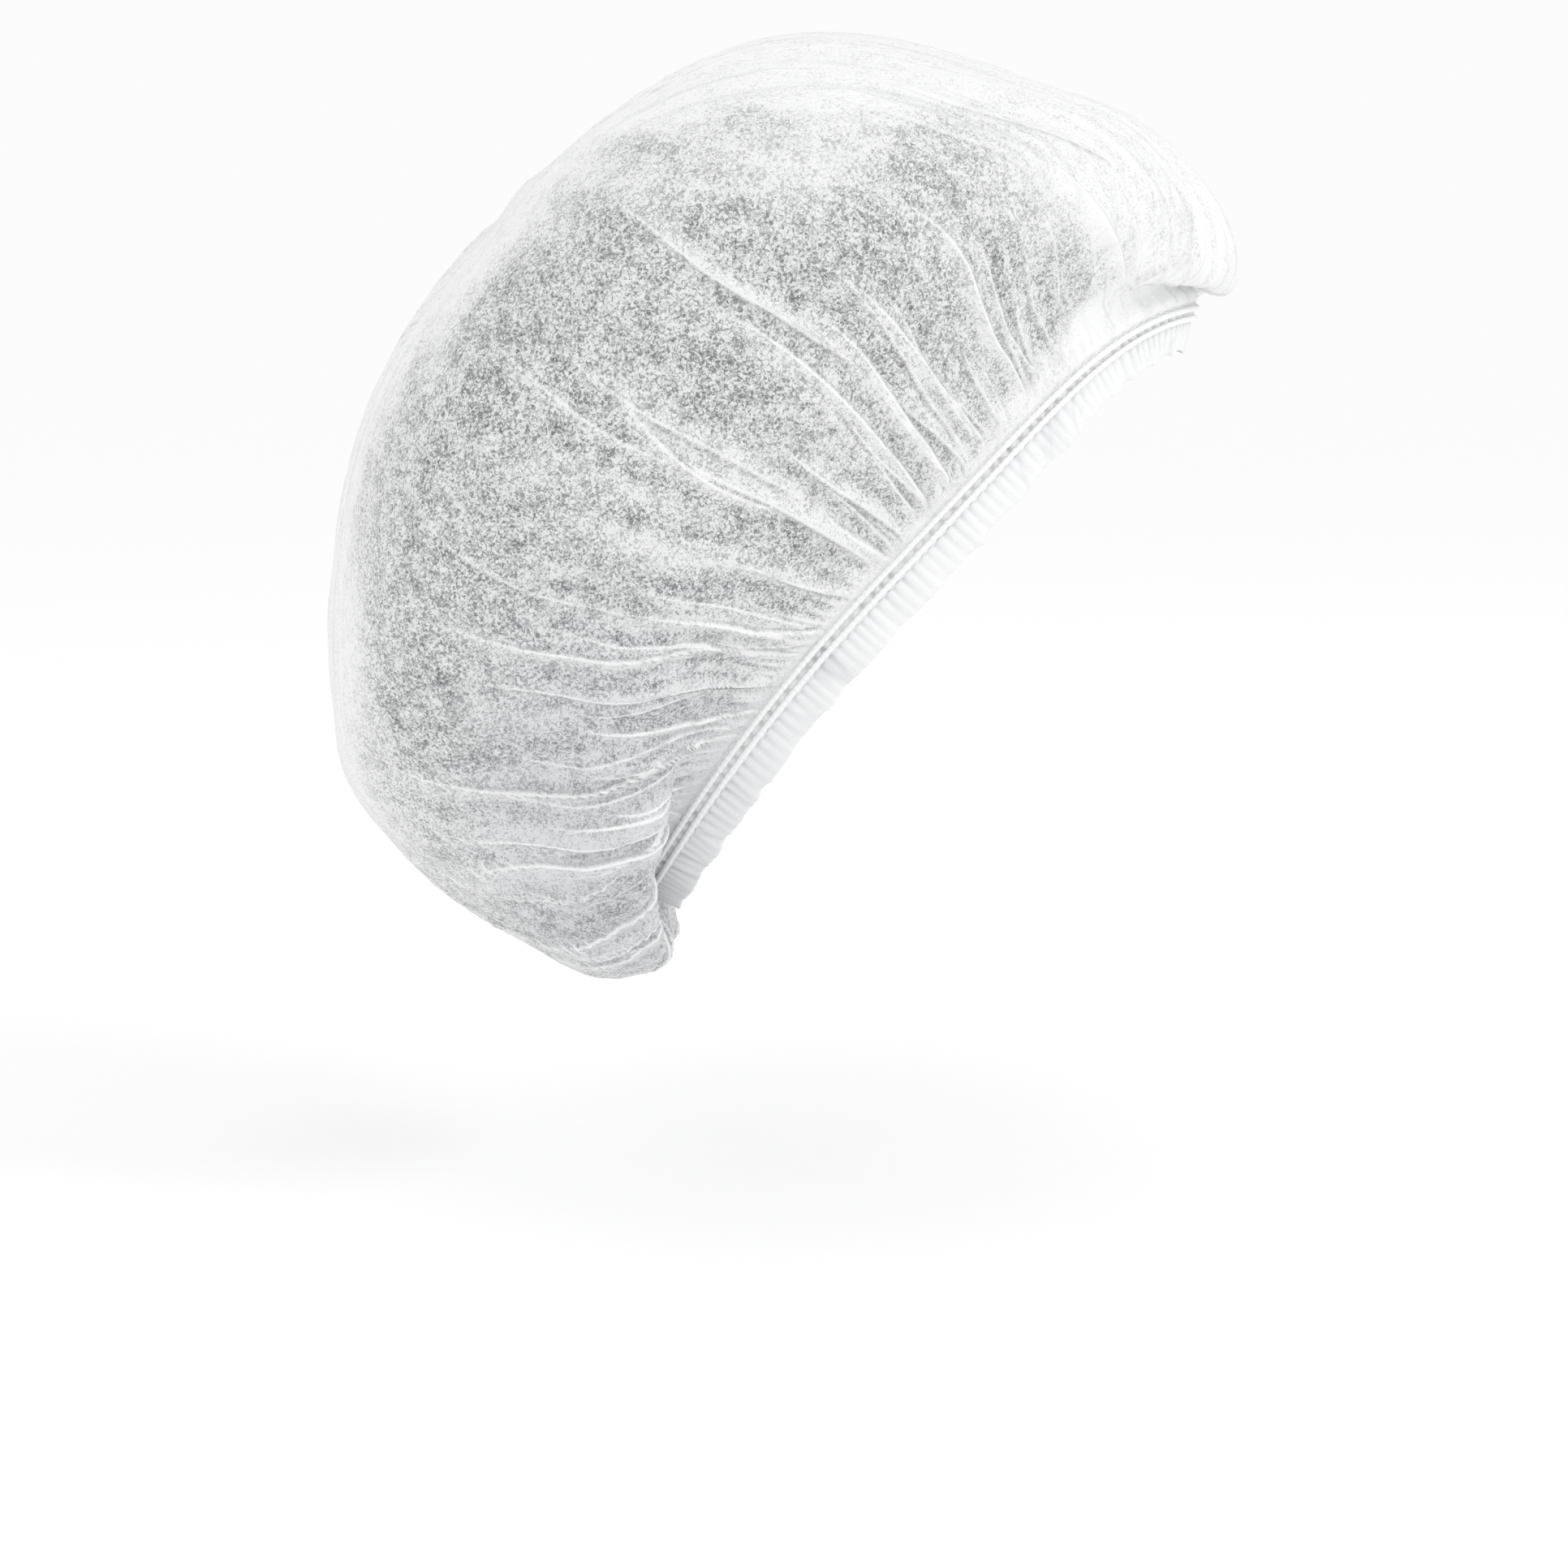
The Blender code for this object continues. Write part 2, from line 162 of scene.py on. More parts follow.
# Main folds. Foot, middle and head are places round the loop, from the front over the wearer's right, as
# shares of its length. Start and end are distances from the rim in mm: a fold is strong at its start and
# fades towards its end, which is nearer the rim on one of them. Height and width are in mm, and doubled
# is how white the overlapped cloth shows.
Fold = namedtuple("Fold", "foot middle head start end height width doubled")
FOLDS = (
    Fold(0.050, 0.076, 0.088, 34, 12, 1.8, 1.8, 0.7),
    Fold(0.082, 0.091, 0.099, 26, 72, 2.0, 3.4, 1.0),
    Fold(0.072, 0.087, 0.088, 62, 132, 1.4, 1.8, 0.8),
    Fold(0.122, 0.115, 0.098, 4, 28, 1.6, 1.4, 0.8),
    Fold(0.138, 0.135, 0.130, 6, 40, 1.8, 1.4, 0.9),
    Fold(0.145, 0.149, 0.155, 4, 96, 2.2, 2.4, 1.0),
    Fold(0.162, 0.163, 0.160, 2, 44, 1.6, 1.4, 0.7),
    Fold(0.174, 0.181, 0.190, 2, 88, 2.6, 1.8, 1.0),
    Fold(0.186, 0.192, 0.198, 0, 48, 1.5, 1.3, 0.7),
    Fold(0.198, 0.199, 0.208, 2, 88, 2.4, 2.2, 1.0),
    Fold(0.205, 0.216, 0.210, 62, 152, 2.0, 1.8, 1.0),
    Fold(0.212, 0.215, 0.230, 0, 112, 2.4, 1.6, 1.0),
    Fold(0.228, 0.235, 0.242, 0, 66, 2.0, 1.8, 0.9),
    Fold(0.240, 0.244, 0.246, 0, 40, 1.4, 1.3, 0.7),
    Fold(0.246, 0.255, 0.262, 6, 98, 2.6, 2.6, 1.0),
    Fold(0.255, 0.261, 0.257, 46, 114, 1.6, 1.5, 0.8),
    Fold(0.264, 0.274, 0.280, 0, 58, 1.6, 1.5, 0.8),
    Fold(0.285, 0.303, 0.312, 0, 62, 1.8, 1.5, 1.0),
    Fold(0.292, 0.310, 0.322, 0, 48, 1.4, 1.3, 0.7),
    Fold(0.300, 0.329, 0.360, 0, 122, 2.2, 1.5, 1.0),
    Fold(0.318, 0.341, 0.361, 0, 96, 2.2, 1.6, 1.0),
    Fold(0.334, 0.353, 0.358, 0, 64, 2.0, 1.4, 1.0),
    Fold(0.342, 0.368, 0.372, 0, 56, 2.0, 1.4, 1.0),
    Fold(0.350, 0.390, 0.425, 0, 136, 2.4, 1.7, 1.0),
    Fold(0.372, 0.386, 0.388, 2, 48, 1.8, 2.2, 0.9),
    Fold(0.386, 0.392, 0.402, 4, 68, 2.2, 2.6, 0.9),
    Fold(0.396, 0.405, 0.441, 4, 112, 2.4, 4.2, 1.0),
    Fold(0.404, 0.416, 0.476, 0, 126, 3.0, 5.0, 1.0),
    Fold(0.412, 0.430, 0.470, 2, 34, 2.0, 1.8, 1.0),
    Fold(0.424, 0.448, 0.492, 8, 104, 2.2, 2.0, 1.0),
    Fold(0.440, 0.455, 0.470, 26, 84, 2.2, 2.6, 0.9),
    Fold(0.448, 0.468, 0.500, 32, 96, 2.4, 3.6, 0.9),
    Fold(0.455, 0.466, 0.478, 6, 46, 2.4, 2.2, 1.0),
    Fold(0.486, 0.480, 0.490, 8, 70, 2.4, 2.6, 0.9),
    Fold(0.512, 0.524, 0.530, 8, 92, 2.6, 2.6, 0.9),
    Fold(0.548, 0.536, 0.524, 2, 118, 2.6, 2.4, 1.0),
    Fold(0.574, 0.560, 0.548, 0, 70, 2.2, 1.8, 0.9),
    Fold(0.598, 0.582, 0.550, 2, 128, 3.0, 4.2, 1.0),
    Fold(0.618, 0.602, 0.592, 0, 60, 1.8, 1.5, 0.8),
    Fold(0.641, 0.615, 0.580, 0, 124, 2.4, 1.6, 1.0),
    Fold(0.662, 0.638, 0.626, 2, 70, 2.0, 1.5, 0.9),
    Fold(0.684, 0.660, 0.638, 0, 116, 2.4, 1.6, 1.0),
    Fold(0.706, 0.692, 0.686, 0, 54, 1.7, 1.5, 0.8),
    Fold(0.728, 0.716, 0.706, 2, 88, 2.2, 1.6, 0.9),
    Fold(0.752, 0.746, 0.736, 2, 126, 2.6, 2.6, 1.0),
    Fold(0.776, 0.770, 0.768, 0, 60, 1.8, 1.5, 0.8),
    Fold(0.801, 0.792, 0.790, 2, 96, 2.4, 1.7, 1.0),
    Fold(0.826, 0.820, 0.812, 0, 56, 1.7, 1.5, 0.8),
    Fold(0.848, 0.846, 0.838, 3, 106, 2.4, 2.0, 1.0),
    Fold(0.873, 0.867, 0.866, 2, 50, 1.8, 1.6, 0.9),
    Fold(0.902, 0.897, 0.888, 10, 84, 2.0, 2.6, 0.9),
    Fold(0.938, 0.936, 0.930, 16, 72, 1.8, 1.9, 0.8),
    Fold(0.975, 0.980, 0.982, 20, 88, 1.8, 2.2, 0.7),
    Fold(0.022, 0.025, 0.030, 22, 80, 1.8, 2.2, 0.7),
)

# How all folds run: how far they wander and how fast, in metres and in radians for each metre up, how
# wide they are at the start and how much wider at the end, and over which shares of their way they rise
# and fade. A steep and a gentle side are these shares of the width.
FOLD_WANDER = 0.0012
FOLD_WANDER_PACE = 75
FOLD_START_WIDTH = 0.55
FOLD_WIDTH_GROWTH = 0.75
FOLD_RISING = (-0.02, 0.10)
FOLD_FADING = (0.30, 1.0)
FOLD_STEEP_SIDE = 0.42
FOLD_GENTLE_SIDE = 1.5
FOLD_DOUBLING = 0.55
FOLD_DOUBLING_WIDTH = 1.6

# A fold's crest shows as a bright line with a dark line of painted shade beside it, given by half their
# widths. Reach is how far from the crest the cloth keeps its distance to it, and span is what a stored
# value of 1 stands for.
LINE_REACH = 0.0026
LINE_SPAN = 0.010
LINE_BRIGHT_HALF = 0.00065
LINE_DARK_PLACE = 0.00125
LINE_DARK_HALF = 0.00055

# How far the cloth's lines lean round the loop on their way up, as shares of its length for this rise.
FLOW_RISE = 0.1
FLOW_PLACES = (0.0, 0.10, 0.24, 0.32, 0.41, 0.50, 0.59, 0.68, 0.76, 0.90, 1.0)
FLOW_LEANS = (0.0, 0.006, 0.012, 0.036, 0.064, 0.0, -0.064, -0.036, -0.012, -0.006, 0.0)

# Lesser folds between the main ones, placed by chance.
LESSER_FOLDS = 96
LESSER_FOLD_HEIGHT = 0.0011
LESSER_FOLD_WIDTH = 0.0012
LESSER_FOLD_REACH = 0.075

# Fine gathers at the rim: how many, how tall at most, how wide, how far most and the longest of them
# reach, where they rise and over which shares of their reach they fade, and how white they show.
GATHER_COUNT = 170
GATHER_HEIGHT = 0.0013
GATHER_WIDTH = 0.0011
GATHER_REACH = 0.011
GATHER_REACH_LONG = 0.034
GATHER_RISING = (0.0, 0.0035)
GATHER_FADING = (0.25, 1.0)
GATHER_DOUBLING = 0.75

# The billows between folds, the cloth's own crinkle, and the crumpling of the bag at the nape. Start,
# settling and end are distances from the rim, and the sides are shares of the loop from the nape. Far up,
# the billows settle to this share of their height.
BILLOW_HEIGHT = 0.0022
BILLOW_START = (0.004, 0.030)
BILLOW_SETTLING = (0.08, 0.17)
BILLOW_SETTLED = 0.35
CRINKLE_HEIGHT = 0.00045
NAPE_CRUMPLE_HEIGHT = 0.0018
NAPE_CRUMPLE_START = (0.006, 0.020)
NAPE_CRUMPLE_END = (0.085, 0.0425)
NAPE_CRUMPLE_SIDES = (0.13, 0.06)

# Soft noise over the cloth: its features' size across and along the folds in metres, and where it is
# read.
Noise = namedtuple("Noise", "across along seed")
BILLOWS = Noise(0.016, 0.060, 3.1)
BROAD_BILLOWS = Noise(0.055, 0.070, 8.7)
CRINKLES = Noise(0.004, 0.014, 5.3)
NAPE_CRUMPLES = Noise(0.020, 0.012, 1.9)
STREAKS = Noise(0.0032, 0.050, 6.6)
CLEAR_WAVERS = Noise(0.018, 0.040, 4.4)

# How white the doubled cloth shows in streaks up from the hem, along the hem, and in a fan over the
# temple. Fading and reach are distances from the rim, and the fan's start, end and fall are shares of the
# loop. The fan itself fades over these shares of its reach.
STREAK_DOUBLING = 0.40
STREAK_CONTRAST = 1.6
STREAK_FADING = (0.05, 0.15)
HEM_DOUBLING = 0.75
HEM_DOUBLING_FADING = (0.001, 0.007)
FAN_DOUBLING = 0.7
FAN_START = (0.03, 0.06)
FAN_END = (0.15, 0.20)
FAN_FALL = (0.06, 0.13)
FAN_REACH_FRONT = 0.040
FAN_REACH_BACK = 0.016
FAN_FADING = (0.4, 1.0)

# Where the cloth stands clear of the head it is painted paler, as painted light for the light that shows
# through it there: nearer the middle than this share of the crown's half width, and further in front than
# this share of the loop's half length. Higher up the pale part is wider, most of all in front. Up is a
# share of the crown's depth, and along is from front to back in metres.
CLEAR_ASIDE = (0.34, 0.62)
CLEAR_WAVER = 0.14
CLEAR_WIDENING_FRONT = 0.40
CLEAR_WIDENING_BACK = 0.20
CLEAR_WIDENING_ALONG = (-0.12, 0.06)
CLEAR_WIDENING_UP = (0.32, 0.68)
CLEAR_UP_AT_BACK = (0.22, 0.58)
CLEAR_FRONT = (0.70, 1.06)
CLEAR_FRONT_STRENGTH = 0.9

# The crown and the ruffle grow darker towards the nape, between these shares of the loop to each side of
# it, and the crown also towards the rim, between these distances from it.
NAPE_SIDES = (0.24, 0.10)
NAPE_FADING = (0.12, 0.06)
NAPE_SHADE = 0.30
RUFFLE_NAPE_SHADE = 0.14

# The pleats in which such a cap is packed leave creases from front to back over the top, this far apart.
# They show above this share of the crown's depth, and nearer the middle than this share of its half
# width. Each is a bright line and a dark line of painted shade, whose edges are shares of the pitch.
PACKING_PITCH = 0.022
PACKING_DRIFT = 0.016
PACKING_UP = (0.50, 0.75)
PACKING_ASIDE = (0.42, 0.62)
PACKING_BRIGHT_EDGES = (0.45, 0.49)
PACKING_DARK_EDGES = (0.045, 0.01)

# Cloth: thin and thick are the colours of its sparse and dense spots, white that of doubled cloth and
# crests, and fold_shade that of the line beside a crest. Grain is the spots' size in metres. Sparse and
# dense are the noise values between which the spots run, and the alphas say how much the cloth covers.
Cloth = namedtuple(
    "Cloth", "thin thick white fold_shade grain sparse dense thin_alpha thick_alpha roughness sheen bump"
)
SPUNBOND = Cloth(
    thin=(0.085, 0.088, 0.093, 1),
    thick=(0.80, 0.803, 0.808, 1),
    white=(0.93, 0.932, 0.935, 1),
    fold_shade=(0.34, 0.345, 0.355, 1),
    grain=0.00095,
    sparse=0.465,
    dense=0.805,
    thin_alpha=0.70,
    thick_alpha=0.93,
    roughness=0.85,
    sheen=0.7,
    bump=0.35,
)
HEM_CLOTH = Cloth(
    thin=(0.45, 0.46, 0.475, 1),
    thick=(0.62, 0.625, 0.635, 1),
    white=(0.87, 0.873, 0.877, 1),
    fold_shade=(0.5, 0.5, 0.5, 1),
    grain=0.00095,
    sparse=0.50,
    dense=0.86,
    thin_alpha=0.95,
    thick_alpha=1.0,
    roughness=0.8,
    sheen=0.3,
    bump=0.25,
)

# Shares in the cloth's shader: how much the clouds shift the grain, how much white cloth fills and covers
# its thin spots, how much painted light whitens the cloth that stands clear of the head, how white the
# packing lines and crests show, and how dark the painted shade beside them is.
CLOUD_SHIFT = 0.34
WHITE_FILL = 0.6
WHITE_COVER = 0.5
CLEAR_PAINTED_LIGHT = 0.70
PACKING_BRIGHT = 0.28
PACKING_DARK = 0.32
STREAK_DARK = 0.22
STREAK_EDGES = (0.48, 0.72)
CREST_BRIGHT = 1.6
CREST_DARK = 0.75
SHADOW_COLOUR = (0.36, 0.375, 0.40, 1)
YARN_DARK = (0.86, 0.865, 0.87, 1)
YARN_LIGHT = (0.94, 0.94, 0.94, 1)

# The photograph's view, from the wearer's right and tilted down, and how wide its frame is at the cap.
CAMERA_PLACE = Vector((-1.05, 0.0417, 0.085))
CAMERA_TARGET = Vector((0.0, 0.0417, -0.0588))
VIEW_WIDTH = 0.508
SENSOR_WIDTH = 36.0
FLOOR_HEIGHT = -0.185
FLOOR_SIZE = 60.0

# The two lights, and how bright the white surround is.
AreaLight = namedtuple("AreaLight", "name place aim size power")
LIGHTS = (
    AreaLight("key", (-0.7, -1.5, 1.3), (0.0, 0.04, 0.05), 0.9, 7.0),
    AreaLight("fill", (-1.5, 0.9, 0.8), (0.0, 0.04, 0.0), 1.2, 2.0),
)
SURROUND_BRIGHTNESS = 0.97

rng = np.random.default_rng(7)


def loop_speed():
    """Fine angles once round the loop, and how far a point moves for each radian there."""
    fine = np.linspace(0.0, math.tau, 4001)
    return fine, np.hypot(LOOP_LENGTH / 2 * np.sin(fine), LOOP_WIDTH / 2 * np.cos(fine))


def loop_angles(count):
    """Angles round the loop, from the front over the wearer's right, for points spaced evenly along it."""
    fine, speed = loop_speed()
    lengths = np.concatenate([[0.0], np.cumsum((speed[1:] + speed[:-1]) / 2)])
    return np.interp(np.arange(count) / count * lengths[-1], lengths, fine)


def loop_perimeter():
    return float(np.mean(loop_speed()[1]) * math.tau)


def swept(angle, front, side, back, front_sweep, back_sweep):
    """A value that is side at the sides and runs to front and back round a ring."""
    along = np.cos(angle)
    end = np.where(along > 0, front, back)
    sweep = np.where(along > 0, front_sweep, back_sweep)
    return side + (end - side) * np.abs(along) ** sweep


def ring(angle, front, back, side, height, roundness=RIM_ROUNDNESS):
    """Points of a flat-lying ring. Front, back and side are its reaches from the origin."""
    along = np.sign(np.cos(angle)) * np.abs(np.cos(angle)) ** roundness
    across = np.sign(np.sin(angle)) * np.abs(np.sin(angle)) ** roundness
    reach = np.where(along > 0, front, back)
    return np.stack([-side * across, -reach * along, height + 0.0 * angle], axis=1)


def hem_frame(angle):
    """The loop's points, the direction up the hem's width and the one out of its face."""
    lean = swept(angle, LEAN_FRONT, 0.0, LEAN_BACK, DOME_SWEEP, DOME_SWEEP)[:, None]
    out = np.stack([-np.sin(angle) / LOOP_WIDTH, -np.cos(angle) / LOOP_LENGTH, 0.0 * angle], axis=1)
    out /= np.linalg.norm(out, axis=1, keepdims=True)
    upright = np.array([0.0, 0.0, 1.0])
    up_the_hem = out * np.sin(lean) + upright * np.cos(lean)
    face = out * np.cos(lean) - upright * np.sin(lean)
    rise = swept(angle, 0.0, LOOP_SIDE_RISE, 0.0, RIM_FRONT_SWEEP, RIM_BACK_SWEEP)
    centre = ring(angle, LOOP_LENGTH / 2, LOOP_LENGTH / 2, LOOP_WIDTH / 2, rise)
    return centre, up_the_hem, face


def hem_points(angle, up, out):
    """Points this far up the hem and out of its face. Each may be one number or one for each angle."""
    centre, up_the_hem, face = hem_frame(angle)
    up = np.broadcast_to(up, angle.shape)[:, None]
    out = np.broadcast_to(out, angle.shape)[:, None]
    return centre + up_the_hem * up + face * out


def flare_ring(angle, row, sweep_share):
    side_up = LOOP_SIDE_RISE + (CROWN_DEPTH - LOOP_SIDE_RISE) * row.side_up
    front_sweep = RIM_FRONT_SWEEP + (DOME_SWEEP - RIM_FRONT_SWEEP) * sweep_share
    back_sweep = RIM_BACK_SWEEP + (DOME_SWEEP - RIM_BACK_SWEEP) * sweep_share
    height = swept(
        angle, CROWN_DEPTH * row.front_up, side_up, CROWN_DEPTH * row.back_up, front_sweep, back_sweep
    )
    return ring(
        angle,
        LOOP_LENGTH / 2 + PUFF_FRONT * row.front_out,
        LOOP_LENGTH / 2 + PUFF_BACK * row.back_out,
        LOOP_WIDTH / 2 + PUFF_SIDE * row.side_out,
        height,
        RIM_ROUNDNESS + (DOME_ROUNDNESS - RIM_ROUNDNESS) * sweep_share,
    )


def dome_ring(angle, row):
    side_up = LOOP_SIDE_RISE + (CROWN_DEPTH - LOOP_SIDE_RISE) * row.side_up
    height = swept(
        angle, CROWN_DEPTH * row.front_up, side_up, CROWN_DEPTH * row.back_up, DOME_SWEEP, DOME_SWEEP
    )
    return ring(
        angle,
        (LOOP_LENGTH / 2 + PUFF_FRONT) * row.front_in,
        (LOOP_LENGTH / 2 + PUFF_BACK) * row.back_in,
        (LOOP_WIDTH / 2 + PUFF_SIDE) * row.side_in,
        height,
        DOME_ROUNDNESS,
    )


def crown_sections(angle):
    """The rings that the cloth passes through, from the rim to just short of the top, and the top."""
    rim = CASING_WIDTH / 2 - RIM_TUCK
    rings = [hem_points(angle, rim, RIM_FACE), hem_points(angle, rim + RIM_LIP, CASING_FACE)]
    rings += [
        flare_ring(angle, row, number / len(FLARE_ROWS)) for number, row in enumerate(FLARE_ROWS, start=1)
    ]
    rings += [dome_ring(angle, row) for row in DOME_ROWS]
    top = rings[-1].mean(axis=0)
    top[2] = CROWN_DEPTH
    return np.array(rings), top


def smooth_rows(sections, top):
    """Rows of points on a smooth surface through the sections, denser at the rim, without the top."""
    last = np.broadcast_to(top, sections[0].shape)
    beyond = last - (sections[-1] - last) * np.array([1.0, 1.0, -1.0])
    before = 2 * sections[0] - sections[1]
    points = np.concatenate([before[None], sections, last[None], beyond[None]])
    lengths = np.linalg.norm(np.diff(points, axis=0), axis=2)[..., None]
    slopes = np.diff(points, axis=0) / lengths
    blend = lengths[:-1] / (lengths[:-1] + lengths[1:])
    tangents = slopes[:-1] * (1 - blend) + slopes[1:] * blend
    rows = []
    travelled = 0.0
    for index in range(len(sections)):
        start, end = points[index + 1], points[index + 2]
        span = lengths[index + 1]
        mean_span = float(span.mean())
        step = min(ROW_STEP_TOP, ROW_STEP_RIM + ROW_STEP_GROWTH * travelled)
        count = max(1, math.ceil(mean_span / step))
        for part in range(count):
            t = part / count
            rows.append(
                start * (2 * t**3 - 3 * t**2 + 1)
                + tangents[index] * span * (t**3 - 2 * t**2 + t)
                + end * (-2 * t**3 + 3 * t**2)
                + tangents[index + 1] * span * (t**3 - t**2)
            )
        travelled += mean_span
    return np.array(rows)


def grid_normals(grid):
    """Directions out of the cloth at each point of the grid."""
    round_the_ring = np.roll(grid, -1, axis=1) - np.roll(grid, 1, axis=1)
    up_the_cloth = np.gradient(grid, axis=0)
    normals = np.cross(up_the_cloth, round_the_ring)
    return normals / np.linalg.norm(normals, axis=2, keepdims=True)


def smooth_step(low, high, value):
    share = np.clip((value - low) / (high - low), 0.0, 1.0)
    return share * share * (3 - 2 * share)


def beside(place, share, ring_length):
    """How far each point lies along its ring from this place, in metres, and on which side."""
    return ((share - place + 0.5) % 1.0 - 0.5) * ring_length


def flow_lean(share):
    """How far the cloth's lines lean round the loop here, as a share of its length for each metre up."""
    return np.interp(share % 1.0, FLOW_PLACES, FLOW_LEANS) / FLOW_RISE


def lesser_folds():
    """Chance folds that follow the flow of the main ones."""
    folds = []
    for number in range(LESSER_FOLDS):
        foot = (number + rng.uniform(-0.4, 0.4)) / LESSER_FOLDS
        start = rng.uniform(0.0, 0.010) + (rng.uniform(0.02, 0.07) if rng.random() < 0.25 else 0.0)
        end = start + LESSER_FOLD_REACH * rng.uniform(0.4, 1.3)
        head = foot + flow_lean(foot) * (end - start) + rng.uniform(-0.006, 0.006)
        height = LESSER_FOLD_HEIGHT * rng.uniform(0.5, 1.3)
        width = LESSER_FOLD_WIDTH * rng.uniform(0.7, 1.5)
        doubled = rng.uniform(0.25, 0.75)
        middle = foot + 0.6 * (head - foot)
        sizes_mm = [size * 1000 for size in (start, end, height, width)]
        folds.append(Fold(foot, middle, head, *sizes_mm, doubled))
    return folds


def add_folds(folds, share, distance, ring_length, height, doubled, lines):
    """Lifts the folds: each has a steep side and a gentle one, and wanders a little on its way up."""
    for number, fold in enumerate(folds):
        start, end = fold.start / 1000, fold.end / 1000
        way = (distance - start) / (end - start)
        passed = np.clip(way, 0.0, 1.0)
        wander = FOLD_WANDER * np.sin(distance * FOLD_WANDER_PACE + number * 1.7) * passed
        bow = 4 * (fold.middle - (fold.foot + fold.head) / 2) * passed * (1 - passed)
        place = fold.foot + (fold.head - fold.foot) * passed + bow
        away = beside(place, share, ring_length) + wander
        side = 1.0 if number % 2 else -1.0
        width = fold.width / 1000 * (FOLD_START_WIDTH + FOLD_WIDTH_GROWTH * passed)
        width = width * np.where(away * side > 0, FOLD_GENTLE_SIDE, FOLD_STEEP_SIDE)
        strength = smooth_step(*FOLD_RISING, way) * (1 - smooth_step(*FOLD_FADING, way))
        crest = np.exp(-np.abs(away / width) ** 1.5)
        height += fold.height / 1000 * strength * crest
        overlap = np.exp(-((away / (width * FOLD_DOUBLING_WIDTH)) ** 2)) * np.sqrt(strength)
        doubled[:] = np.maximum(doubled, FOLD_DOUBLING * overlap * fold.doubled)
        near = np.clip(1 - np.abs(away) / LINE_REACH, 0.0, 1.0) * np.sqrt(strength) * fold.doubled
        nearest = near > lines[..., 1]
        lines[..., 0] = np.where(nearest, -away * side, lines[..., 0])
        lines[..., 1] = np.where(nearest, near, lines[..., 1])


def add_gathers(share, distance, ring_length, height, doubled):
    """Crowds fine gathers along the rim, most of them short."""
    near = int(np.argmax(distance.min(axis=1) > GATHER_REACH_LONG * 1.3))
    rows = slice(0, near)
    ease = smooth_step(*GATHER_RISING, distance[rows])
    for number in range(GATHER_COUNT):
        place = (number + rng.uniform(-0.35, 0.35)) / GATHER_COUNT
        reach = GATHER_REACH + (GATHER_REACH_LONG - GATHER_REACH) * rng.random() ** 3
        tall = GATHER_HEIGHT * rng.uniform(0.45, 1.0)
        width = GATHER_WIDTH * rng.uniform(0.7, 1.3)
        lean = flow_lean(place) + rng.uniform(-0.08, 0.08)
        away = beside(place + lean * distance[rows], share, ring_length[rows])
        strength = ease * (1 - smooth_step(*GATHER_FADING, distance[rows] / reach))
        crest = np.exp(-((away / width) ** 2)) * strength
        height[rows] += tall * crest
        doubled[rows] = np.maximum(doubled[rows], GATHER_DOUBLING * crest)


def noise_grid(share, distance, kind, turbulent=False):
    """Soft noise over the cloth, with features of this kind."""
    radius = loop_perimeter() / math.tau / kind.across
    turn = np.broadcast_to(math.tau * share, distance.shape)
    across = (radius * np.cos(turn) + kind.seed, radius * np.sin(turn) + kind.seed)
    places = np.stack([*across, distance / kind.along], axis=2).reshape(-1, 3)
    if turbulent:
        values = [noise.turbulence(place, 2, True) for place in places.tolist()]
    else:
        values = [noise.noise(place) for place in places.tolist()]
    return np.array(values).reshape(distance.shape)


def add_billows(share, distance, height):
    """Lets the cloth billow between its folds, crinkles it, and crumples the bag at the nape."""
    leave = smooth_step(*BILLOW_START, distance)
    settle = 1 - (1 - BILLOW_SETTLED) * smooth_step(*BILLOW_SETTLING, distance)
    height += BILLOW_HEIGHT * leave * settle * noise_grid(share, distance, BILLOWS)
    height += BILLOW_HEIGHT * leave * noise_grid(share, distance, BROAD_BILLOWS)
    height += CRINKLE_HEIGHT * leave * noise_grid(share, distance, CRINKLES)
    bag = smooth_step(*NAPE_CRUMPLE_START, distance) * smooth_step(*NAPE_CRUMPLE_END, distance)
    bag *= smooth_step(*NAPE_CRUMPLE_SIDES, np.abs(share - 0.5))
    crumple = noise_grid(share, distance, NAPE_CRUMPLES, turbulent=True)
    height += NAPE_CRUMPLE_HEIGHT * bag * (crumple - 0.5)


def add_hem_doubling(share, distance, doubled):
    """Whitens the cloth in streaks up from the hem, along the hem, and in a fan over the temple."""
    streaks = noise_grid(share - distance * flow_lean(share), distance, STREAKS)
    streaks = np.clip(streaks * STREAK_CONTRAST, 0.0, 1.0)
    streaks *= 1 - smooth_step(*STREAK_FADING, distance)
    hem = 1 - smooth_step(*HEM_DOUBLING_FADING, distance)
    reach = FAN_REACH_BACK + (FAN_REACH_FRONT - FAN_REACH_BACK) * (1 - smooth_step(*FAN_FALL, share))
    fan = smooth_step(*FAN_START, share) * (1 - smooth_step(*FAN_END, share))
    fan = fan * (1 - smooth_step(*FAN_FADING, distance / reach))
    for layer in (STREAK_DOUBLING * streaks, HEM_DOUBLING * hem, FAN_DOUBLING * fan):
        doubled[:] = np.maximum(doubled, layer)


def share_aside(grid):
    """How far each point lies from the middle of the crown, as a share of its half width."""
    return np.abs(grid[:, :, 0]) / (LOOP_WIDTH / 2 + PUFF_SIDE)


